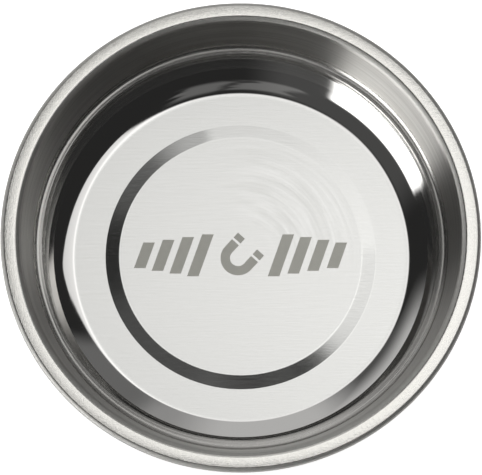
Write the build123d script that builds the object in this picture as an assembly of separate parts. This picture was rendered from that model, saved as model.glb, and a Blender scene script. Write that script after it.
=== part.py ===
from build123d import *

import os
from math import atan2, cos, pi, radians, remainder, sin, tan

# Round magnetic parts dish. Millimetres, +Z up, origin at the centre of the face it stands on.

# Driving dimensions
RIM_DIAMETER = 108.0
OVERALL_HEIGHT = 33.0
BOWL_DEPTH = 24.9  # lip to floor
SHEET = 0.6  # stainless sheet

# Heights worked out from them
LIP_TOP = OVERALL_HEIGHT
FLOOR_TOP = LIP_TOP - BOWL_DEPTH
CENTRE_RISE = 0.5  # the round centre stands this far above the floor
CENTRE_TOP = FLOOR_TOP + CENTRE_RISE
FLOOR_UNDER = FLOOR_TOP - SHEET
CENTRE_UNDER = CENTRE_TOP - SHEET

# Bowl profile, measured on its upper side
RIM_RADIUS = RIM_DIAMETER / 2
CENTRE_RADIUS = 28.4
STEP_FOOT_RADIUS = 31.5
FLOOR_RADIUS = 38.4  # where the flat floor starts to turn up
FLOOR_BEND = 8.0
FOOT_ANGLE = 50.0  # how far the bend turns up before the crease under the lower wall, in degrees
FOOT_RUN = 0.6  # straight part between the bend and the crease
LOWER_WALL_ANGLE = 89.3  # from horizontal, in degrees
UPPER_WALL_ANGLE = 79.7
LEDGE_INNER_Z = FLOOR_TOP + 12.2
LEDGE_OUTER_Z = LEDGE_INNER_Z + 0.55
LIP_INNER_RADIUS = 49.5  # where the upper wall would meet the lip, with no bend
LIP_BEND = 1.8
HEM_HEIGHT = 2.2
HEM_WIDTH = 2.6
HEM_BEND = 1.05
CENTRE_BEND = 3.0
STEP_FOOT_BEND = 1.5
CREASE_BEND = 1.5
LEDGE_INNER_BEND = 0.9
LEDGE_OUTER_BEND = 1.2

# Magnet and the ring plate under it
MAGNET_RADIUS = 27.0
MAGNET_BORE = 12.0
MAGNET_THICKNESS = 5.0
PAD_THICKNESS = 0.4
PAD_INSET = 0.5
PLATE_THICKNESS = 1.0
MAGNET_TOP = CENTRE_UNDER - PAD_THICKNESS
MAGNET_UNDER = MAGNET_TOP - MAGNET_THICKNESS
PLATE_UNDER = MAGNET_UNDER - PLATE_THICKNESS

# M5 fastening in the middle of the magnet
THREAD_RADIUS = 2.24  # pitch radius, shared by the stud and the nut
CLEAR_HOLE = 2.75
COLLAR_RADIUS = 4.0
COLLAR_THICKNESS = 0.8
BUSH_THICKNESS = 1.2
BUSH_UNDER = CENTRE_UNDER - BUSH_THICKNESS
WEB_THICKNESS = 1.2
WEB_UNDER = BUSH_UNDER - WEB_THICKNESS
WASHER_RADIUS = 5.0
WASHER_THICKNESS = 1.0
SPRING_WASHER_RADIUS = 4.35
SPRING_WASHER_THICKNESS = 1.2
SPRING_WASHER_GAP = 1.0
NUT_ACROSS_FLATS = 8.0
NUT_THICKNESS = 2.7
STUD_END = 0.4

# Rubber boot
BOOT_FOOT_RADIUS = 29.8
BOOT_WALL_RADIUS = 30.6
BOOT_LIP_RADIUS = 33.6
BOOT_LIP_THICKNESS = 0.8
BOOT_FIT = 0.1  # gap round the magnet
HUB_RADIUS = MAGNET_BORE - 0.2
RECESS_TOP_RADIUS = 8.0
RECESS_MOUTH_RADIUS = 8.6
GROOVE_RADII = [12.5 + 3.6 * i for i in range(5)]
GROOVE_DEPTH = 0.4
GROOVE_HALF_WIDTH = 0.7
GROOVE_HALF_FLOOR = 0.35


def spin(corners):
    """Turns a closed outline of (radius, height, bend radius) corners about Z."""
    points = [(r, 0, z) for r, z, _ in corners]
    bends = [bend for _, _, bend in corners]
    outline = FilletPolyline(*points, radius=bends, close=True)
    return revolve(make_face(outline), axis=Axis.Z)


def sheet_outline(upper, thickness):
    """The closed outline of a bent sheet whose upper side follows the given corners.

    The under side is the upper one moved by the thickness, square to each run.
    """
    runs = list(zip(upper, upper[1:]))
    headings = [atan2(b[1] - a[1], b[0] - a[0]) for a, b in runs]
    under = []
    for i, (r, z, bend) in enumerate(upper):
        before = headings[max(i - 1, 0)]
        after = headings[min(i, len(headings) - 1)]
        turn = remainder(after - before, 2 * pi)
        middle = before + turn / 2
        reach = thickness / cos(turn / 2)
        if bend:
            bend += thickness if turn > 0 else -thickness
        under.append((r + reach * sin(middle), z - reach * cos(middle), bend))
    return upper + under[::-1]


def run_out(height, angle):
    """How far a wall at this angle from horizontal moves outwards over this height."""
    return height / tan(radians(angle))


def make_dish():
    """The pressed bowl: raised centre, floor, lower wall, ledge, upper wall and hemmed lip."""
    tangent = FLOOR_BEND * tan(radians(FOOT_ANGLE / 2))
    floor_corner = FLOOR_RADIUS + tangent
    crease_radius = floor_corner + (tangent + FOOT_RUN) * cos(radians(FOOT_ANGLE))
    crease_z = FLOOR_TOP + (tangent + FOOT_RUN) * sin(radians(FOOT_ANGLE))
    ledge_inner = crease_radius + run_out(LEDGE_INNER_Z - crease_z, LOWER_WALL_ANGLE)
    ledge_outer = LIP_INNER_RADIUS - run_out(LIP_TOP - LEDGE_OUTER_Z, UPPER_WALL_ANGLE)
    hem_z = LIP_TOP - HEM_HEIGHT
    upper = [
        (0, CENTRE_TOP, 0),
        (CENTRE_RADIUS, CENTRE_TOP, CENTRE_BEND),
        (STEP_FOOT_RADIUS, FLOOR_TOP, STEP_FOOT_BEND),
        (floor_corner, FLOOR_TOP, FLOOR_BEND),
        (crease_radius, crease_z, CREASE_BEND),
        (ledge_inner, LEDGE_INNER_Z, LEDGE_INNER_BEND),
        (ledge_outer, LEDGE_OUTER_Z, LEDGE_OUTER_BEND),
        (LIP_INNER_RADIUS, LIP_TOP, LIP_BEND),
        (RIM_RADIUS, LIP_TOP, HEM_BEND),
        (RIM_RADIUS, hem_z, HEM_BEND),
        (RIM_RADIUS - HEM_WIDTH, hem_z, 0),
    ]
    return spin(sheet_outline(upper, SHEET))


def make_foam_pad():
    """Thin double-sided foam ring between the magnet and the raised centre."""
    outer = MAGNET_RADIUS - PAD_INSET
    inner = MAGNET_BORE + PAD_INSET
    return spin(
        [
            (inner, MAGNET_TOP, 0),
            (outer, MAGNET_TOP, 0),
            (outer, CENTRE_UNDER, 0),
            (inner, CENTRE_UNDER, 0),
        ]
    )


def chamfered_ring(inner, outer, low, high, chamfer):
    """A flat ring with all four edges broken."""
    return spin(
        [
            (inner, low + chamfer, 0),
            (inner + chamfer, low, 0),
            (outer - chamfer, low, 0),
            (outer, low + chamfer, 0),
            (outer, high - chamfer, 0),
            (outer - chamfer, high, 0),
            (inner + chamfer, high, 0),
            (inner, high - chamfer, 0),
        ]
    )


def make_ring_magnet():
    """Ferrite ring, magnetised through its thickness."""
    return chamfered_ring(MAGNET_BORE, MAGNET_RADIUS, MAGNET_UNDER, MAGNET_TOP, 0.4)


def make_backing_ring():
    """Steel ring that closes the magnet's lower face."""
    return chamfered_ring(MAGNET_BORE, MAGNET_RADIUS, PLATE_UNDER, MAGNET_UNDER, 0.15)


def make_spacer_bush():
    """Nylon disc that carries the clamping load from the boot's web to the dish."""
    pocket_radius = COLLAR_RADIUS + 0.2
    pocket_z = CENTRE_UNDER - COLLAR_THICKNESS - 0.1
    return spin(
        [
            (CLEAR_HOLE, BUSH_UNDER, 0),
            (HUB_RADIUS, BUSH_UNDER, 0.3),
            (HUB_RADIUS, CENTRE_UNDER, 0.3),
            (pocket_radius, CENTRE_UNDER, 0),
            (pocket_radius, pocket_z, 0),
            (CLEAR_HOLE, pocket_z, 0),
        ]
    )


def make_weld_stud():
    """M5 stud whose collar is projection welded under the centre of the dish."""
    collar_z = CENTRE_UNDER - COLLAR_THICKNESS
    tip = 0.5
    return spin(
        [
            (0, STUD_END, 0),
            (THREAD_RADIUS - tip, STUD_END, 0),
            (THREAD_RADIUS, STUD_END + tip, 0),
            (THREAD_RADIUS, collar_z, 0.2),
            (COLLAR_RADIUS, collar_z, 0.2),
            (COLLAR_RADIUS, CENTRE_UNDER, 0),
            (0, CENTRE_UNDER, 0),
        ]
    )


def groove(radius):
    """One grip groove in the boot's foot, as outline corners from the inside out."""
    return [
        (radius - GROOVE_HALF_WIDTH, 0, 0),
        (radius - GROOVE_HALF_FLOOR, GROOVE_DEPTH, 0),
        (radius + GROOVE_HALF_FLOOR, GROOVE_DEPTH, 0),
        (radius + GROOVE_HALF_WIDTH, 0, 0),
    ]


def make_rubber_boot():
    """Moulded boot round the magnet: ribbed foot, sealing lip, and a hub in the magnet's bore."""
    inside = MAGNET_RADIUS + BOOT_FIT
    lip_under = FLOOR_UNDER - BOOT_LIP_THICKNESS
    grooves = [corner for radius in GROOVE_RADII for corner in groove(radius)]
    corners = [
        (CLEAR_HOLE, WEB_UNDER, 0),
        (RECESS_TOP_RADIUS, WEB_UNDER, 0.5),
        (RECESS_MOUTH_RADIUS, 0, 0.6),
        *grooves,
        (BOOT_FOOT_RADIUS, 0, 1.2),
        (BOOT_WALL_RADIUS, lip_under - 1.2, 1.5),
        (BOOT_LIP_RADIUS, lip_under, 0.3),
        (BOOT_LIP_RADIUS, FLOOR_UNDER, 0.3),
        (inside + 1.4, FLOOR_UNDER, 0.3),
        (inside, FLOOR_UNDER - 1.0, 0.6),
        (inside, PLATE_UNDER, 0),
        (HUB_RADIUS, PLATE_UNDER, 0),
        (HUB_RADIUS, BUSH_UNDER, 0.4),
        (CLEAR_HOLE, BUSH_UNDER, 0),
    ]
    return spin(corners)


def make_flat_washer():
    """M5 flat washer, seated on the boot's web."""
    return chamfered_ring(
        CLEAR_HOLE - 0.1, WASHER_RADIUS, WEB_UNDER - WASHER_THICKNESS, WEB_UNDER, 0.12
    )


def make_spring_washer():
    """M5 split spring washer, with its slanted gap."""
    high = WEB_UNDER - WASHER_THICKNESS
    low = high - SPRING_WASHER_THICKNESS
    ring = chamfered_ring(CLEAR_HOLE - 0.15, SPRING_WASHER_RADIUS, low, high, 0.1)
    gap = Box(2 * SPRING_WASHER_RADIUS, SPRING_WASHER_GAP, 4 * SPRING_WASHER_THICKNESS)
    centre_z = (low + high) / 2
    return ring - Pos(SPRING_WASHER_RADIUS, 0, centre_z) * Rot(25, 0, 0) * gap


def make_hex_nut():
    """Thin M5 hexagon nut with turned-off corners."""
    high = WEB_UNDER - WASHER_THICKNESS - SPRING_WASHER_THICKNESS
    low = high - NUT_THICKNESS
    flat_radius = NUT_ACROSS_FLATS / 2
    corner_radius = flat_radius / cos(radians(30))
    corner_drop = (corner_radius - flat_radius) * tan(radians(30))
    countersink = 0.35
    prism = extrude(RegularPolygon(flat_radius, 6, major_radius=False), NUT_THICKNESS)
    turned = spin(
        [
            (THREAD_RADIUS + countersink, low, 0),
            (flat_radius, low, 0),
            (corner_radius, low + corner_drop, 0),
            (corner_radius, high - corner_drop, 0),
            (flat_radius, high, 0),
            (THREAD_RADIUS + countersink, high, 0),
            (THREAD_RADIUS, high - countersink, 0),
            (THREAD_RADIUS, low + countersink, 0),
        ]
    )
    return Pos(0, 0, low) * prism & turned


PARTS = {
    "dish": make_dish,
    "weld_stud": make_weld_stud,
    "foam_pad": make_foam_pad,
    "ring_magnet": make_ring_magnet,
    "backing_ring": make_backing_ring,
    "spacer_bush": make_spacer_bush,
    "rubber_boot": make_rubber_boot,
    "flat_washer": make_flat_washer,
    "spring_washer": make_spring_washer,
    "hex_nut": make_hex_nut,
}

os.makedirs("parts", exist_ok=True)
for name, make in PARTS.items():
    shape = make()
    shape.label = name
    export_step(shape, f"parts/{name}.step")
    print(name, round(shape.volume, 1), "mm3")
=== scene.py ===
import math
from collections import namedtuple

import bpy
import numpy as np
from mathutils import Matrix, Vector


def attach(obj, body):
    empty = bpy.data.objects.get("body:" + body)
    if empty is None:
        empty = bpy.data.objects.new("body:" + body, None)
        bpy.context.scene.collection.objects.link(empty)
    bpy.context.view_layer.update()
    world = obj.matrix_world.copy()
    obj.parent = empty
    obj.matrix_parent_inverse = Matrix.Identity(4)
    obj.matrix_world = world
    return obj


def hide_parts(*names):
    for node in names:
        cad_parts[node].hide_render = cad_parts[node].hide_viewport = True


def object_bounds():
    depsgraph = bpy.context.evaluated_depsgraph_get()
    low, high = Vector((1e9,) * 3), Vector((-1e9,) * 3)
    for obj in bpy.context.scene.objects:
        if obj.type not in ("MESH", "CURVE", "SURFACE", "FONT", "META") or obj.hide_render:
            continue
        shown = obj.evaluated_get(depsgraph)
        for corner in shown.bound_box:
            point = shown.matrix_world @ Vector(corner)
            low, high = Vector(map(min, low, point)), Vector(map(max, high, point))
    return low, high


# Round magnetic parts dish. Profile in millimetres, Blender objects in metres.

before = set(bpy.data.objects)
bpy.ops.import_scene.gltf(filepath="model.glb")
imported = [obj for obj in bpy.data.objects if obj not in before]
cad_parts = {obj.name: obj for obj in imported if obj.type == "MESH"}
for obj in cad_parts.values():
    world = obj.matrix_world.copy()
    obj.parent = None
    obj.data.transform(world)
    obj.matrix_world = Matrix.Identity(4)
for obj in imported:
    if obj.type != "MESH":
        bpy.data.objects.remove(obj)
size_at_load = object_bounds()

MM = 0.001
MICRON = 0.000001

# ---------------------------------------------------------------- dish profile, as in the CAD
RIM_RADIUS = round(size_at_load[1][0] / MM, 3)
LIP_TOP = round(size_at_load[1][2] / MM, 3)
BOWL_DEPTH = 24.9
CENTRE_RISE = 0.5
SHEET = 0.6
FLOOR_TOP = LIP_TOP - BOWL_DEPTH
CENTRE_TOP = FLOOR_TOP + CENTRE_RISE
CENTRE_RADIUS = 28.4
STEP_FOOT_RADIUS = 31.5
FLOOR_RADIUS = 38.4
FOOT_ANGLE = math.radians(50.0)
FOOT_RUN = 0.6
LOWER_WALL_ANGLE = math.radians(89.3)
UPPER_WALL_ANGLE = math.radians(79.7)
LEDGE_INNER_Z = FLOOR_TOP + 12.2
LEDGE_OUTER_Z = LEDGE_INNER_Z + 0.55
LIP_INNER_RADIUS = 49.5
HEM_HEIGHT = 2.2
HEM_WIDTH = 2.6

# Bend radii
CENTRE_BEND = 3.0
STEP_FOOT_BEND = 1.5
FLOOR_BEND = 8.0
CREASE_BEND = 1.5
LEDGE_INNER_BEND = 0.9
LEDGE_OUTER_BEND = 1.2
LIP_BEND = 1.8
HEM_BEND = 1.05

# How finely the mesh follows the profile
SEGMENTS = 320
UPPER_STEP_DEG = 3.0
UNDER_STEP_DEG = 7.0

# Where one finish gives way to the next
FLOOR_FINISH_RADIUS = FLOOR_RADIUS + 0.75  # the satin floor reaches a little way up the bend
LIP_BURNISHED_BELOW = 0.75  # a normal's Z: steeper parts of the lip's inner bend are burnished
LIP_SATIN_ABOVE = 0.97  # flatter parts of the lip are satin

Corner = namedtuple("Corner", "r z bend bend_finish run_finish")
Strip = namedtuple("Strip", "start end start_normal end_normal finish")


def turned_left(v):
    return np.array([-v[1], v[0]])


def rotated(v, angle):
    c, s = math.cos(angle), math.sin(angle)
    return np.array([v[0] * c - v[1] * s, v[0] * s + v[1] * c])


def unit(v):
    return v / np.linalg.norm(v)


def place(corner):
    return np.array([corner.r, corner.z], float)


def bend_strips(before, corner, after, step_deg):
    """Cuts the bend at a corner into short strips with the normals of its arc."""
    d1 = unit(place(corner) - place(before))
    d2 = unit(place(after) - place(corner))
    turn = math.atan2(d1[0] * d2[1] - d1[1] * d2[0], float(d1 @ d2))
    start = place(corner) - d1 * corner.bend * math.tan(abs(turn) / 2)
    centre = start + turned_left(d1) * math.copysign(corner.bend, turn)
    steps = max(2, math.ceil(abs(math.degrees(turn)) / step_deg))
    angles = [turn * k / steps for k in range(steps + 1)]
    points = [centre + rotated(start - centre, t) for t in angles]
    normals = [turned_left(rotated(d1, t)) for t in angles]
    return [Strip(points[k], points[k + 1], normals[k], normals[k + 1], corner.bend_finish)
            for k in range(steps)]


def profile_strips(corners, step_deg):
    """Cuts a line of corners into strips: one for each straight run, several for each bend."""
    made = []
    last = place(corners[0])
    for i in range(1, len(corners)):
        before, corner = corners[i - 1], corners[i]
        bend = []
        if corner.bend:
            bend = bend_strips(before, corner, corners[i + 1], step_deg)
        run_end = bend[0].start if bend else place(corner)
        if np.linalg.norm(run_end - last) > 1e-6:
            normal = turned_left(unit(place(corner) - place(before)))
            made.append(Strip(last, run_end, normal, normal, before.run_finish))
        made += bend
        last = made[-1].end
    return made


def upper_corners():
    """Upper side of the sheet, from the middle of the bowl out to the end of the curled edge."""
    tangent = FLOOR_BEND * math.tan(FOOT_ANGLE / 2)
    floor_corner = FLOOR_RADIUS + tangent
    crease_r = floor_corner + (tangent + FOOT_RUN) * math.cos(FOOT_ANGLE)
    crease_z = FLOOR_TOP + (tangent + FOOT_RUN) * math.sin(FOOT_ANGLE)
    ledge_inner = crease_r + (LEDGE_INNER_Z - crease_z) / math.tan(LOWER_WALL_ANGLE)
    ledge_outer = LIP_INNER_RADIUS - (LIP_TOP - LEDGE_OUTER_Z) / math.tan(UPPER_WALL_ANGLE)
    hem_z = LIP_TOP - HEM_HEIGHT
    return [
        Corner(0.0, CENTRE_TOP, 0, None, "floor"),
        Corner(CENTRE_RADIUS, CENTRE_TOP, CENTRE_BEND, "step", "step"),
        Corner(STEP_FOOT_RADIUS, FLOOR_TOP, STEP_FOOT_BEND, "step", "floor"),
        Corner(floor_corner, FLOOR_TOP, FLOOR_BEND, "bend", "bend"),
        Corner(crease_r, crease_z, CREASE_BEND, "lower wall", "lower wall"),
        Corner(ledge_inner, LEDGE_INNER_Z, LEDGE_INNER_BEND, "ledge", "ledge"),
        Corner(ledge_outer, LEDGE_OUTER_Z, LEDGE_OUTER_BEND, "ledge", "upper wall"),
        Corner(LIP_INNER_RADIUS, LIP_TOP, LIP_BEND, "lip", "lip"),
        Corner(RIM_RADIUS, LIP_TOP, HEM_BEND, "lip", "curled edge"),
        Corner(RIM_RADIUS, hem_z, HEM_BEND, "curled edge", "curled edge"),
        Corner(RIM_RADIUS - HEM_WIDTH, hem_z, 0, None, None),
    ]


def under_corners(upper):
    """Under side of the sheet: the upper side moved by its thickness, square to each run."""
    headings = [math.atan2(b.z - a.z, b.r - a.r) for a, b in zip(upper, upper[1:])]
    under = []
    for i, corner in enumerate(upper):
        before, after = headings[max(i - 1, 0)], headings[min(i, len(headings) - 1)]
        turn = math.remainder(after - before, 2 * math.pi)
        middle = before + turn / 2
        reach = SHEET / math.cos(turn / 2)
        bend = corner.bend
        if bend:
            bend += SHEET if turn > 0 else -SHEET
        under.append(Corner(corner.r + reach * math.sin(middle), corner.z - reach * math.cos(middle),
                            bend, "outside", "outside"))
    return under


def final_finish(strip):
    """Moves the borders between finishes that fall inside a bend."""
    across, up = strip.end_normal
    if strip.finish == "bend" and strip.end[0] < FLOOR_FINISH_RADIUS:
        return "floor"
    if strip.finish == "lip" and across < 0 and up < LIP_BURNISHED_BELOW:
        return "upper wall"
    if strip.finish == "lip" and up < LIP_SATIN_ABOVE:
        return "curled edge"
    return strip.finish


def add_object(name, mesh):
    obj = bpy.data.objects.new(name, mesh)
    bpy.context.scene.collection.objects.link(obj)
    return obj


def lathe(name, strips, finishes):
    """Turns the strips about Z, with the exact normals of the profile."""
    spin = [(math.cos(2 * math.pi * k / SEGMENTS), math.sin(2 * math.pi * k / SEGMENTS))
            for k in range(SEGMENTS)]
    verts, faces, indices, normals = [], [], [], []
    rings = {}

    def ring(point):
        """Vertex numbers of the ring through a profile point, made once; one vertex on the axis."""
        key = (round(float(point[0]), 5), round(float(point[1]), 5))
        if key not in rings:
            first = len(verts)
            if key[0] < 1e-6:
                verts.append((0.0, 0.0, key[1] * MM))
                rings[key] = [first] * SEGMENTS
            else:
                r, z = point * MM
                verts.extend((r * c, r * s, z) for c, s in spin)
                rings[key] = list(range(first, first + SEGMENTS))
        return rings[key]

    for strip in strips:
        a, b = ring(strip.start), ring(strip.end)
        for k in range(SEGMENTS):
            k2 = (k + 1) % SEGMENTS
            corners = [(a[k], strip.start_normal, spin[k]), (b[k], strip.end_normal, spin[k]),
                       (b[k2], strip.end_normal, spin[k2]), (a[k2], strip.start_normal, spin[k2])]
            if a[0] == a[1]:
                corners.pop()
            elif b[0] == b[1]:
                corners.pop(2)
            faces.append([vert for vert, _, _ in corners])
            normals.extend((n[0] * c, n[0] * s, n[1]) for _, n, (c, s) in corners)
            indices.append(finishes.index(strip.finish))

    mesh = bpy.data.meshes.new(name)
    mesh.from_pydata(verts, [], faces)
    mesh.polygons.foreach_set("material_index", indices)
    mesh.polygons.foreach_set("use_smooth", [True] * len(faces))
    mesh.normals_split_custom_set(normals)
    mesh.update()
    return add_object(name, mesh)


# ---------------------------------------------------------------- shader nodes
class Graph:
    """Short ways to add nodes to one node tree."""

    def __init__(self, tree):
        self.tree = tree
        tree.nodes.clear()

    def node(self, kind, **settings):
        made = self.tree.nodes.new(kind)
        for key, value in settings.items():
            setattr(made, key, value)
        return made

    def put(self, socket, value):
        """Links a socket, or sets a plain value on it."""
        if isinstance(value, bpy.types.NodeSocket):
            self.tree.links.new(value, socket)
        else:
            socket.default_value = value

    def math(self, operation, *values):
        made = self.node("ShaderNodeMath", operation=operation)
        for socket, value in zip(made.inputs, values):
            self.put(socket, value)
        return made.outputs[0]

    def mul(self, *values):
        out = values[0]
        for value in values[1:]:
            out = self.math("MULTIPLY", out, value)
        return out

    def add(self, *values):
        out = values[0]
        for value in values[1:]:
            out = self.math("ADD", out, value)
        return out

    def minus(self, a, b):
        return self.math("SUBTRACT", a, b)

    def length(self, a, b):
        return self.math("SQRT", self.add(self.mul(a, a), self.mul(b, b)))

    def mix(self, share, a, b):
        return self.add(self.mul(self.minus(1.0, share), a), self.mul(share, b))

    def smooth(self, x, lo, hi, a=0.0, b=1.0, kind="SMOOTHSTEP"):
        """Goes from a to b while x goes from lo to hi."""
        made = self.node("ShaderNodeMapRange", interpolation_type=kind)
        for key, value in zip(("Value", "From Min", "From Max", "To Min", "To Max"), (x, lo, hi, a, b)):
            self.put(made.inputs[key], value)
        return made.outputs["Result"]

    def band(self, x, lo, hi, soft):
        """1 between lo and hi, 0 outside, with soft borders."""
        up = self.smooth(x, lo - soft, lo + soft)
        down = self.smooth(x, hi - soft, hi + soft, 1.0, 0.0)
        return self.mul(up, down)

    def xyz(self, vector):
        made = self.node("ShaderNodeSeparateXYZ")
        self.put(made.inputs[0], vector)
        return made.outputs[0], made.outputs[1], made.outputs[2]

    def combine(self, x, y, z):
        made = self.node("ShaderNodeCombineXYZ")
        for socket, value in zip(made.inputs, (x, y, z)):
            self.put(socket, value)
        return made.outputs[0]

    def noise(self, vector, scale=1.0, detail=3.0, rough=0.6):
        made = self.node("ShaderNodeTexNoise")
        for key, value in zip(("Vector", "Scale", "Detail", "Roughness"), (vector, scale, detail, rough)):
            self.put(made.inputs[key], value)
        return made.outputs[0]


class Look(Graph):
    """A procedural material that knows where on the object a point is, in millimetres."""

    def __init__(self, name):
        self.material = bpy.data.materials.new(name)
        self.material.use_nodes = True
        super().__init__(self.material.node_tree)
        out = self.node("ShaderNodeOutputMaterial")
        self.shader = self.node("ShaderNodeBsdfPrincipled")
        self.tree.links.new(self.shader.outputs[0], out.inputs[0])
        coordinates = self.node("ShaderNodeTexCoord")
        scaled = self.node("ShaderNodeVectorMath", operation="SCALE")
        self.put(scaled.inputs[0], coordinates.outputs["Object"])
        scaled.inputs["Scale"].default_value = 1 / MM
        self.point = scaled.outputs[0]
        self.x, self.y, self.z = self.xyz(self.point)
        self.r = self.length(self.x, self.y)
        self.angle = self.math("ARCTAN2", self.y, self.x)

    def stretched(self, *pairs, scale=1.0, detail=3.0, rough=0.6):
        """Noise on up to three (value, factor) pairs or plain numbers."""
        parts = [self.mul(*pair) if isinstance(pair, tuple) else pair for pair in pairs]
        return self.noise(self.combine(*parts), scale, detail, rough)

    def colour(self, share, a, b):
        made = self.node("ShaderNodeMix", data_type="RGBA")
        self.put(made.inputs[0], share)
        for socket, value in ((made.inputs[6], a), (made.inputs[7], b)):
            self.put(socket, (*value, 1.0) if isinstance(value, tuple) else value)
        return made.outputs[2]

    def bump(self, height, distance, normal=None):
        made = self.node("ShaderNodeBump")
        self.put(made.inputs["Height"], height)
        made.inputs["Distance"].default_value = distance
        if normal is not None:
            self.put(made.inputs["Normal"], normal)
        return made.outputs[0]

    def surface_normal(self):
        return self.xyz(self.node("ShaderNodeNewGeometry").outputs["Normal"])

    def finish(self, colour, roughness, normal, metallic=0.0):
        colour = (*colour, 1.0) if isinstance(colour, tuple) else colour
        self.put(self.shader.inputs["Base Color"], colour)
        self.put(self.shader.inputs["Roughness"], roughness)
        self.put(self.shader.inputs["Normal"], normal)
        self.shader.inputs["Metallic"].default_value = metallic
        return self.material

    def brush_round(self, anisotropy):
        """Stretches highlights across a grain that runs round the bowl."""
        tangent = self.node("ShaderNodeTangent", direction_type="RADIAL", axis="Z")
        self.put(self.shader.inputs["Tangent"], tangent.outputs[0])
        self.shader.inputs["Anisotropic"].default_value = anisotropy
        self.shader.inputs["Anisotropic Rotation"].default_value = 0.25


# ---------------------------------------------------------------- steel of the dish
SLOPE_LIMIT = math.radians(40.0)
SLOPE_FREE_Z = (17.7, 18.3)  # the lower wall keeps its true normal above this height
WORN_FROM, WORN_TO, WORN_SOFT = (math.radians(d) for d in (0.0, 109.0, 8.0))
# End of the sector that gets the painted sheen of arcs
ARC_SHEEN_TO = math.radians(95.0)
LEDGE_RIDGE_PITCH = 0.9
LIP_MIDDLE = 51.6
LIP_HALF_WIDTH = 2.4
THREAD_PITCH = 0.8


def gentle_slope(m, share=1.0):
    """The surface normal, never leaning past the slope limit, so that bend and wall shine as one."""
    nx, ny, nz = m.surface_normal()
    lean = m.math("MAXIMUM", m.length(nx, ny), 1e-4)
    up = m.math("MAXIMUM", nz, m.mul(share, math.cos(SLOPE_LIMIT)))
    out = m.math("DIVIDE", m.math("SQRT", m.minus(1.0, m.mul(up, up))), lean)
    return m.combine(m.mul(nx, out), m.mul(ny, out), up)


def flattened(m, share):
    """The surface normal, turned towards Z by a share of its lean."""
    nx, ny, nz = m.surface_normal()
    keep = m.minus(1.0, share)
    made = m.node("ShaderNodeVectorMath", operation="NORMALIZE")
    m.put(made.inputs[0], m.combine(m.mul(nx, keep), m.mul(ny, keep), nz))
    return made.outputs[0]


def satin_steel(name, base_roughness, worn=None):
    """Brushed satin: straight grain along X, faint turned marks, and fainter arcs in the colour on one
    side only, a painted sheen of turned marks catching the light.
    """
    m = Look(name)
    grain = m.stretched((m.x, 0.06), (m.y, 1.6), m.z, scale=2.2, detail=4.0)
    fine = m.stretched((m.x, 0.25), (m.y, 6.0), m.z, scale=2.0)
    rings = m.stretched((m.r, 2.4), 3.0, 1.0)
    roughness = m.add(base_roughness, m.mul(m.minus(grain, 0.5), 0.12), m.mul(m.minus(rings, 0.5), 0.06))
    normal = None
    if worn:
        sector = m.band(m.angle, WORN_FROM, WORN_TO, WORN_SOFT)
        roughness = m.add(roughness, m.mul(sector, 0.06))
        normal = flattened(m, m.mul(sector, worn))
    # Painted sheen: the arcs change the colour only in one sector, where turned marks would catch the
    # light.
    painted_arc_sheen = m.stretched((m.r, 0.75), (m.angle, 1.1), 7.0, detail=4.0)
    painted_arc_sheen = m.mix(m.mul(m.band(m.angle, 0.0, ARC_SHEEN_TO, 0.5), m.band(m.r, 9.0, 27.0, 4.0)), 0.5, painted_arc_sheen)
    tone = m.add(m.mul(grain, 0.4), m.mul(painted_arc_sheen, 0.5), m.mul(rings, 0.1))
    swirl = m.mul(rings, m.smooth(m.add(m.x, m.y), 4.0, 22.0, 0.2, 1.0))
    height = m.add(m.mul(grain, 0.6), m.mul(fine, 0.4), m.mul(swirl, 0.9))
    colour = m.colour(m.smooth(tone, 0.34, 0.66), (0.68, 0.682, 0.665), (0.83, 0.832, 0.82))
    return m.finish(colour, roughness, m.bump(height, 4 * MICRON, normal), metallic=1.0)


def steel_floor():
    return satin_steel("steel_floor", 0.22)


def steel_step():
    """The step round the centre, smoother than the floor and worn nearly flat in one sector."""
    return satin_steel("steel_step", 0.14, worn=0.86)


def steel_bend():
    """Polished bend between the floor and the lower wall."""
    m = Look("steel_lower_wall")
    wave = m.stretched((m.angle, 9.0), (m.z, 0.25), 0.0, detail=2.0, rough=0.5)
    fine = m.stretched((m.angle, 60.0), (m.z, 2.0), 0.0)
    relief = m.bump(m.add(wave, m.mul(fine, 0.05)), 4 * MICRON, gentle_slope(m))
    return m.finish((0.70, 0.695, 0.685), m.add(0.035, m.mul(fine, 0.05)), relief, metallic=1.0)


def steel_lower_wall():
    """Polished, with fine drawing lines round the bowl."""
    m = Look("steel_wall")
    lines = m.stretched((m.z, 1.6), (m.angle, 0.35), 2.0, detail=2.0, rough=0.5)
    normal = gentle_slope(m, m.smooth(m.z, *SLOPE_FREE_Z, 1.0, 0.0))
    m.brush_round(0.9)
    colour = m.colour(lines, (0.74, 0.735, 0.72), (0.82, 0.815, 0.80))
    relief = m.bump(lines, 1.5 * MICRON, normal)
    return m.finish(colour, m.add(0.11, m.mul(lines, 0.05)), relief, metallic=1.0)


def steel_ledge():
    """Brushed ledge with low ridges round it."""
    m = Look("steel_ledge")
    streak = m.stretched((m.add(m.r, m.z), 3.0), (m.angle, 1.2), 0.0, detail=4.0, rough=0.65)
    ridge = m.math("SINE", m.mul(m.r, 2 * math.pi / LEDGE_RIDGE_PITCH))
    m.brush_round(0.85)
    colour = m.colour(m.smooth(streak, 0.3, 0.7), (0.50, 0.49, 0.47), (0.68, 0.67, 0.65))
    relief = m.bump(m.add(ridge, m.mul(streak, 0.5)), 16 * MICRON)
    return m.finish(colour, m.add(0.20, m.mul(streak, 0.12)), relief, metallic=1.0)


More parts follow.
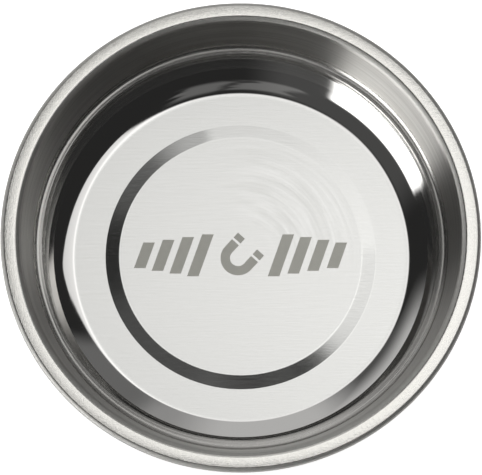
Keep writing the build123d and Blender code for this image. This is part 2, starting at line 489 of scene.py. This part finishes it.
def steel_upper_wall():
    """Burnished, with lines round the bowl."""
    m = Look("steel_upper_wall")
    lines = m.stretched((m.z, 2.2), (m.angle, 0.9), 0.0, detail=5.0, rough=0.7)
    fine = m.stretched((m.z, 9.0), (m.angle, 2.0), 5.0)
    m.brush_round(1.0)
    colour = m.colour(m.smooth(lines, 0.35, 0.65), (0.52, 0.51, 0.49), (0.66, 0.65, 0.63))
    relief = m.bump(m.add(lines, m.mul(fine, 0.25)), 12 * MICRON)
    return m.finish(colour, m.add(0.30, m.mul(lines, 0.16)), relief, metallic=1.0)


def steel_lip():
    """Satin lip, very slightly crowned, with short scratches both ways."""
    m = Look("steel_rim")
    along_x = m.stretched((m.x, 0.5), (m.y, 2.4), m.z, scale=1.6)
    along_y = m.stretched((m.x, 2.4), (m.y, 0.5), m.z, scale=1.6)
    nicks = m.add(m.smooth(along_x, 0.56, 0.68), m.smooth(along_y, 0.60, 0.70))
    mottle = m.add(m.noise(m.point, 1.1, 4.0), m.mul(nicks, -0.22))
    across = m.mul(m.add(m.r, -LIP_MIDDLE), 1 / LIP_HALF_WIDTH)
    crown = m.bump(m.mul(across, across, -1.0), 90 * MICRON)
    relief = m.bump(m.add(along_x, along_y, mottle), 13 * MICRON, crown)
    colour = m.colour(mottle, (0.70, 0.69, 0.655), (0.93, 0.92, 0.885))
    return m.finish(colour, m.add(0.12, m.mul(mottle, 0.14)), relief, metallic=1.0)


def steel_curled_edge():
    """Tumbled edge, much duller than the lip."""
    m = Look("steel_hem")
    lines = m.stretched((m.z, 3.0), (m.angle, 6.0), 1.0)
    mottle = m.noise(m.point, 1.1, 4.0)
    colour = m.colour(mottle, (0.52, 0.515, 0.495), (0.68, 0.675, 0.655))
    relief = m.bump(m.add(lines, mottle), 10 * MICRON)
    return m.finish(colour, m.add(0.56, m.mul(lines, 0.12)), relief, metallic=1.0)


def steel_outside():
    """The drawn outside of the bowl."""
    m = Look("steel_under")
    lines = m.stretched((m.z, 2.0), (m.angle, 2.0), (m.r, 2.0), detail=4.0)
    relief = m.bump(lines, 10 * MICRON)
    return m.finish((0.66, 0.655, 0.64), m.add(0.2, m.mul(lines, 0.15)), relief, metallic=1.0)


DISH_FINISHES = {
    "floor": steel_floor,
    "bend": steel_bend,
    "ledge": steel_ledge,
    "upper wall": steel_upper_wall,
    "lip": steel_lip,
    "outside": steel_outside,
    "step": steel_step,
    "lower wall": steel_lower_wall,
    "curled edge": steel_curled_edge,
}


# ---------------------------------------------------------------- dish
def make_dish():
    upper = upper_corners()
    under = under_corners(upper)
    top = [strip._replace(finish=final_finish(strip)) for strip in profile_strips(upper, UPPER_STEP_DEG)]
    low = profile_strips(under[::-1], UNDER_STEP_DEG)
    ends = place(upper[-1]), place(under[-1])
    edge_normal = turned_left(unit(ends[1] - ends[0]))
    edge = Strip(*ends, edge_normal, edge_normal, "curled edge")
    dish = lathe("dish_steel", [*top, edge, *low], list(DISH_FINISHES))
    for make_finish in DISH_FINISHES.values():
        dish.data.materials.append(make_finish())
    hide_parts("dish")
    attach(dish, "root")


make_dish()

# ---------------------------------------------------------------- etched mark
MARK_SUNK = 0.01  # millimetres below and above the raised centre
MARK_PROUD = 0.015
MAGNET_OUTER = 4.1
MAGNET_INNER = 1.9
MAGNET_CENTRE_Y = -0.9
MAGNET_ARM_END = 1.5
MAGNET_TIP_GAP = 0.55
MAGNET_TIP_END = 3.6
MAGNET_TILT = math.radians(-42.0)
MAGNET_ARC_STEPS = 28
BARS_EACH_SIDE = 4
FIRST_BAR = 9.4
BAR_PITCH = 4.35
BAR_HALF_WIDTH = 1.35
BAR_HALF_HEIGHT = 5.0
BAR_SHRINK = 0.65  # each bar outwards is this much shorter at both ends
BAR_LEAN = 0.35


def etched_steel():
    """Frosted grey of an electro-etched mark."""
    m = Look("etched_steel")
    grain = m.noise(m.point, 9.0)
    cloud = m.noise(m.point, 0.5, rough=0.5)
    colour = m.colour(m.add(m.mul(grain, 0.6), m.mul(cloud, 0.4)), (0.46, 0.46, 0.42), (0.60, 0.595, 0.55))
    return m.finish(colour, m.add(0.30, m.mul(grain, 0.12)), m.bump(grain, 10 * MICRON), metallic=1.0)


def magnet_outlines():
    """A horseshoe magnet with two separate tips, upright."""
    def arc(radius):
        angles = [math.pi + math.pi * k / MAGNET_ARC_STEPS for k in range(MAGNET_ARC_STEPS + 1)]
        return [(radius * math.cos(t), MAGNET_CENTRE_Y + radius * math.sin(t)) for t in angles]

    body = arc(MAGNET_OUTER) + [(MAGNET_OUTER, MAGNET_ARM_END), (MAGNET_INNER, MAGNET_ARM_END)]
    body += arc(MAGNET_INNER)[::-1] + [(-MAGNET_INNER, MAGNET_ARM_END), (-MAGNET_OUTER, MAGNET_ARM_END)]
    low = MAGNET_ARM_END + MAGNET_TIP_GAP
    tips = [[(side * MAGNET_INNER, low), (side * MAGNET_OUTER, low),
             (side * MAGNET_OUTER, MAGNET_TIP_END), (side * MAGNET_INNER, MAGNET_TIP_END)]
            for side in (1, -1)]
    return [body] + tips


def bar_outline(side, number):
    middle = side * (FIRST_BAR + BAR_PITCH * number)
    height = BAR_HALF_HEIGHT - BAR_SHRINK * number
    lean = BAR_LEAN * height
    return [(middle - BAR_HALF_WIDTH - lean, -height), (middle + BAR_HALF_WIDTH - lean, -height),
            (middle + BAR_HALF_WIDTH + lean, height), (middle - BAR_HALF_WIDTH + lean, height)]


def anticlockwise(outline):
    area = sum(p[0] * q[1] - q[0] * p[1] for p, q in zip(outline, outline[1:] + outline[:1]))
    return outline if area > 0 else outline[::-1]


def make_mark():
    """A tilted magnet between two rows of slanted bars: thin closed plates on the raised centre."""
    outlines = [[rotated(point, MAGNET_TILT) for point in outline] for outline in magnet_outlines()]
    outlines += [bar_outline(side, number) for side in (1, -1) for number in range(BARS_EACH_SIDE)]
    low, high = (CENTRE_TOP - MARK_SUNK) * MM, (CENTRE_TOP + MARK_PROUD) * MM
    verts, faces = [], []
    for outline in map(anticlockwise, outlines):
        first, n = len(verts), len(outline)
        verts += [(x * MM, y * MM, z) for z in (low, high) for x, y in outline]
        faces.append([first + n + k for k in range(n)])
        faces.append([first + k for k in reversed(range(n))])
        for k in range(n):
            k2 = (k + 1) % n
            faces.append([first + k, first + k2, first + n + k2, first + n + k])
    mesh = bpy.data.meshes.new("etched_mark")
    mesh.from_pydata(verts, [], faces)
    mesh.update()
    mesh.materials.append(etched_steel())
    obj = add_object("etched_mark", mesh)
    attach(obj, "root")


make_mark()


# ---------------------------------------------------------------- finishes of the other CAD nodes
def zinc(name):
    """Zinc plated steel: blue-grey with yellow clouds, fine turning lines and bright nicks."""
    m = Look(name)
    cloud = m.noise(m.point, 0.45, 4.0)
    lines = m.stretched((m.r, 4.0), (m.angle, 0.6), (m.z, 4.0))
    nicks = m.smooth(m.noise(m.point, 3.0, 2.0, 0.5), 0.62, 0.7)
    tone = m.colour(cloud, (0.60, 0.62, 0.66), (0.80, 0.77, 0.66))
    colour = m.colour(nicks, tone, (0.88, 0.88, 0.88))
    relief = m.bump(m.add(lines, m.mul(nicks, -0.5)), 20 * MICRON)
    return m.finish(colour, m.add(0.24, m.mul(lines, 0.14), m.mul(cloud, 0.08)), relief, metallic=1.0)


def bare_steel(name, thread=False):
    """Turned bare steel. The stud also carries its thread as relief."""
    m = Look(name)
    lines = m.stretched((m.r, 3.0), (m.angle, 0.5), (m.z, 3.0), detail=4.0)
    stain = m.noise(m.point, 0.25, 4.0, 0.65)
    height = m.mul(lines, 0.1)
    if thread:
        wave = m.math("SINE", m.add(m.mul(m.z, 2 * math.pi / THREAD_PITCH), m.angle))
        height = m.add(height, m.mul(wave, m.smooth(m.r, 2.4, 2.6, 1.0, 0.0)))
    colour = m.colour(stain, (0.44, 0.42, 0.39), (0.70, 0.69, 0.67))
    roughness = m.add(0.22, m.mul(lines, 0.2), m.mul(stain, 0.1))
    return m.finish(colour, roughness, m.bump(height, (180 if thread else 100) * MICRON), metallic=1.0)


def ferrite():
    """Sintered ferrite: near black, ground faces, pale grains and small pits."""
    m = Look("sintered_ferrite")
    grain = m.noise(m.point, 4.0, 4.0, 0.7)
    pits = m.smooth(m.noise(m.point, 1.6), 0.30, 0.38, 1.0, 0.0)
    grind = m.stretched((m.x, 0.3), (m.y, 5.0), m.z)
    tone = m.colour(grain, (0.030, 0.030, 0.034), (0.085, 0.083, 0.082))
    colour = m.colour(pits, tone, (0.016, 0.016, 0.017))
    height = m.add(m.mul(grain, 0.4), m.mul(grind, 0.3), m.mul(pits, -1.0))
    return m.finish(colour, m.add(0.45, m.mul(grind, 0.2), m.mul(pits, 0.2)), m.bump(height, 80 * MICRON))


def rubber():
    """Moulded nitrile rubber: fine matt grain, dusty bloom and rubbed scuffs."""
    m = Look("moulded_rubber")
    grain = m.noise(m.point, 6.0)
    bloom = m.smooth(m.noise(m.point, 0.12, 4.0), 0.42, 0.68)
    scuff = m.smooth(m.stretched((m.x, 0.2), (m.y, 3.0), m.z, scale=0.8), 0.60, 0.72)
    tone = m.colour(bloom, (0.016, 0.016, 0.017), (0.052, 0.050, 0.047))
    colour = m.colour(m.mul(scuff, 0.6), tone, (0.095, 0.092, 0.088))
    m.shader.inputs["Specular IOR Level"].default_value = 0.4
    relief = m.bump(m.add(m.mul(grain, 0.6), m.mul(scuff, -0.3)), 50 * MICRON)
    return m.finish(colour, m.add(0.48, m.mul(grain, 0.16), m.mul(bloom, 0.18)), relief)


def foam():
    """Closed-cell foam tape, off-white."""
    m = Look("foam_tape")
    cells = m.node("ShaderNodeTexVoronoi")
    m.put(cells.inputs["Vector"], m.point)
    cells.inputs["Scale"].default_value = 3.0
    dent = cells.outputs["Distance"]
    cloud = m.noise(m.point, 0.4)
    colour = m.colour(m.add(m.mul(dent, 0.6), m.mul(cloud, 0.4)), (0.88, 0.87, 0.83), (0.70, 0.69, 0.64))
    return m.finish(colour, m.add(0.8, m.mul(cloud, 0.15)), m.bump(dent, 100 * MICRON))


def nylon():
    """Moulded natural nylon with turning marks and a little light carried inside."""
    m = Look("natural_nylon")
    cloud = m.noise(m.point, 0.5, 4.0)
    lines = m.stretched((m.r, 4.0), (m.angle, 0.5), m.z, detail=2.0, rough=0.5)
    colour = m.colour(cloud, (0.74, 0.72, 0.64), (0.86, 0.85, 0.79))
    m.shader.inputs["Subsurface Weight"].default_value = 0.2
    m.shader.inputs["Subsurface Scale"].default_value = 1 * MM
    return m.finish(colour, m.add(0.34, m.mul(lines, 0.14)), m.bump(m.add(lines, cloud), 20 * MICRON))


NODE_LOOKS = {
    "weld_stud": bare_steel("stud_steel", thread=True),
    "foam_pad": foam(),
    "ring_magnet": ferrite(),
    "backing_ring": bare_steel("plate_steel"),
    "spacer_bush": nylon(),
    "rubber_boot": rubber(),
    "flat_washer": zinc("zinc_flat_washer"),
    "spring_washer": zinc("zinc_spring_washer"),
    "hex_nut": zinc("zinc_nut"),
}
for node_name, look in NODE_LOOKS.items():
    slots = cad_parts[node_name].data.materials
    slots.clear()
    slots.append(look)

# ---------------------------------------------------------------- paper floor
FLOOR_HALF = 6.0
GLOW_FROM, GLOW_TO = 200.0, 900.0  # millimetres from the dish
PAPER_FOR_REFLECTIONS = (0.60, 0.60, 0.60)


def studio_paper():
    """White paper that glows a little, more with distance, in what the camera sees directly."""
    m = Look("studio_paper")
    fibres = m.noise(m.point, 0.3, 4.0)
    seen = m.node("ShaderNodeLightPath").outputs["Is Camera Ray"]
    paper = m.colour(fibres, (0.88, 0.88, 0.88), (0.92, 0.92, 0.92))
    m.put(m.shader.inputs["Base Color"], m.colour(seen, PAPER_FOR_REFLECTIONS, paper))
    m.put(m.shader.inputs["Roughness"], m.add(0.8, m.mul(fibres, 0.1)))
    m.shader.inputs["Emission Color"].default_value = (1.0, 1.0, 1.0, 1.0)
    glow = m.mul(seen, m.smooth(m.r, GLOW_FROM, GLOW_TO, 0.45, 1.0))
    m.put(m.shader.inputs["Emission Strength"], glow)
    return m.material


def make_floor():
    mesh = bpy.data.meshes.new("studio_floor")
    square = [(x * FLOOR_HALF, y * FLOOR_HALF, 0.0) for x, y in ((-1, -1), (1, -1), (1, 1), (-1, 1))]
    mesh.from_pydata(square, [], [(0, 1, 2, 3)])
    mesh.materials.append(studio_paper())
    o = add_object("studio_floor", mesh)


make_floor()

# ---------------------------------------------------------------- studio round the dish
CAMERA_TILT_DEG = 12.66
PANEL_TILT_DEG = 12.0  # the camera's tilt that the panel's edges are given for
BACKGROUND = 0.025
WINDOW = 4.4


def to_degrees(g, a, b):
    return g.mul(g.math("ARCTAN2", a, b), 180 / math.pi)


def studio_radiance(g):
    """A soft white panel overhead, a grey wall behind, a low window left, two shapes in front.

    u and v are degrees from straight up, to the right and to the back. turn and away are the
    compass angle and the distance, in degrees, round the point that the flat floor mirrors.
    """
    dx, dy, dz = g.xyz(g.node("ShaderNodeTexCoord").outputs["Generated"])
    flat = g.math("MAXIMUM", g.length(dx, dy), 1e-5)
    from_up = to_degrees(g, flat, dz)
    u = g.mul(from_up, g.math("DIVIDE", dx, flat))
    v = g.add(g.mul(from_up, g.math("DIVIDE", dy, flat)), PANEL_TILT_DEG - CAMERA_TILT_DEG)
    w = g.minus(v, PANEL_TILT_DEG)
    turn = to_degrees(g, w, u)
    turn = g.add(turn, g.mul(g.math("LESS_THAN", turn, 0.0), 360.0))
    away = g.length(u, w)

    # The panel's edges: left, two at the back, two at the front, and one slanting off to the right
    left = g.smooth(u, -11.0, -7.0)
    back_a = g.minus(v, g.add(17.5, g.mul(g.math("MAXIMUM", u, 0.0), 0.07)))
    back_b = g.add(v, g.mul(u, 0.318), -29.4)
    back = g.smooth(g.math("MAXIMUM", back_a, back_b), -1.2, 1.2, 1.0, 0.0)
    front_a = g.smooth(v, 0.0, 5.5)
    front_b = g.smooth(g.add(v, g.mul(u, 0.72)), 4.0, 7.5)
    front = g.math("MAXIMUM", front_a, front_b)
    right = g.smooth(g.add(v, g.mul(u, -0.77), 17.25), -1.5, 1.5)
    far = g.smooth(away, 38.0, 44.0, 1.0, 0.0)
    level = g.add(g.smooth(u, 0.5, 3.8, 1.16, 1.46), g.smooth(u, 4.6, 10.5, 0.0, -0.42),
                  g.smooth(u, 12.0, 60.0, 0.0, -0.3, kind="LINEAR"))
    panel = g.mul(left, back, front, right, level, far)

    # The grey wall behind the panel, fading to the left and near the dish
    behind = g.minus(1.0, back)
    sector = g.mul(g.smooth(turn, 52.0, 64.0), g.smooth(turn, 150.0, 174.0, 1.0, 0.0))
    near = g.math("MAXIMUM", g.smooth(turn, 112.0, 140.0, 1.0, 0.0), g.smooth(away, 14.0, 68.0, 0.12, 1.0))
    grey = g.mul(sector, behind, g.mix(g.smooth(turn, 66.0, 86.0), 0.33, 0.57), near)
    side = g.mul(g.band(turn, 30.0, 56.0, 4.0), behind, 0.15)

    # The window, the dim ground round it, and two ragged shapes in front
    window = g.mul(g.band(turn, 199.5, 239.0, 3.0), g.band(away, 65.0, 95.0, 5.0), WINDOW)
    dim = g.mul(g.band(turn, 200.0, 262.0, 8.0), g.smooth(away, 10.0, 20.0), 0.06)
    ragged = g.noise(g.combine(g.mul(u, 0.07), g.mul(v, 0.07), 4.0), detail=2.0, rough=0.5)
    skew = g.add(turn, g.mul(g.add(ragged, -0.5), 24.0), g.mul(g.add(away, -40.0), 0.12))
    shape_a = g.mul(g.band(skew, 252.0, 271.5, 2.5), g.band(away, 23.0, 54.0, 4.0), 0.15)
    shape_b = g.mul(g.band(skew, 275.0, 291.0, 2.5), g.band(away, 22.0, 52.0, 6.0), 0.14)
    return g.add(panel, grey, side, dim, shape_a, shape_b, window, BACKGROUND)


def make_world():
    """The studio, seen in reflections only: the camera itself sees plain white."""
    world = bpy.data.worlds.new("studio")
    world.use_nodes = True
    bpy.context.scene.world = world
    g = Graph(world.node_tree)
    seen = g.node("ShaderNodeLightPath").outputs["Is Camera Ray"]
    background = g.node("ShaderNodeBackground")
    background.inputs["Color"].default_value = (1.0, 0.995, 0.985, 1.0)
    g.put(background.inputs["Strength"], g.mix(seen, studio_radiance(g), 1.0))
    out = g.node("ShaderNodeOutputWorld")
    g.tree.links.new(background.outputs[0], out.inputs[0])


def make_lamp():
    """Soft overhead light for the paper, out of sight in the steel."""
    lamp_data = bpy.data.lights.new("overhead", "AREA")
    lamp_data.shape = "SQUARE"
    lamp_data.size = 1.6
    lamp_data.energy = 30.0
    lamp = add_object("overhead", lamp_data)
    lamp.location = (0.0, 0.0, 1.5)
    lamp.visible_camera = False
    lamp.visible_glossy = False


make_world()
make_lamp()

# ---------------------------------------------------------------- camera
CAMERA_DISTANCE = 0.600  # metres, from the middle of the lip
LENS = 199.793
SHIFT = (0.000664, -0.010685)


def make_camera():
    tilt = math.radians(CAMERA_TILT_DEG)
    cam_data = bpy.data.cameras.new("camera")
    cam_data.sensor_width = 36.0
    cam_data.lens = LENS
    cam_data.shift_x, cam_data.shift_y = SHIFT
    cam_data.clip_start, cam_data.clip_end = 0.01, 50.0
    camera = add_object("camera", cam_data)
    height = LIP_TOP * MM + math.cos(tilt) * CAMERA_DISTANCE
    camera.location = (0.0, -math.sin(tilt) * CAMERA_DISTANCE, height)
    camera.rotation_euler = (tilt, 0.0, 0.0)
    bpy.context.scene.camera = camera


make_camera()
bpy.context.scene.view_settings.view_transform = "Standard"
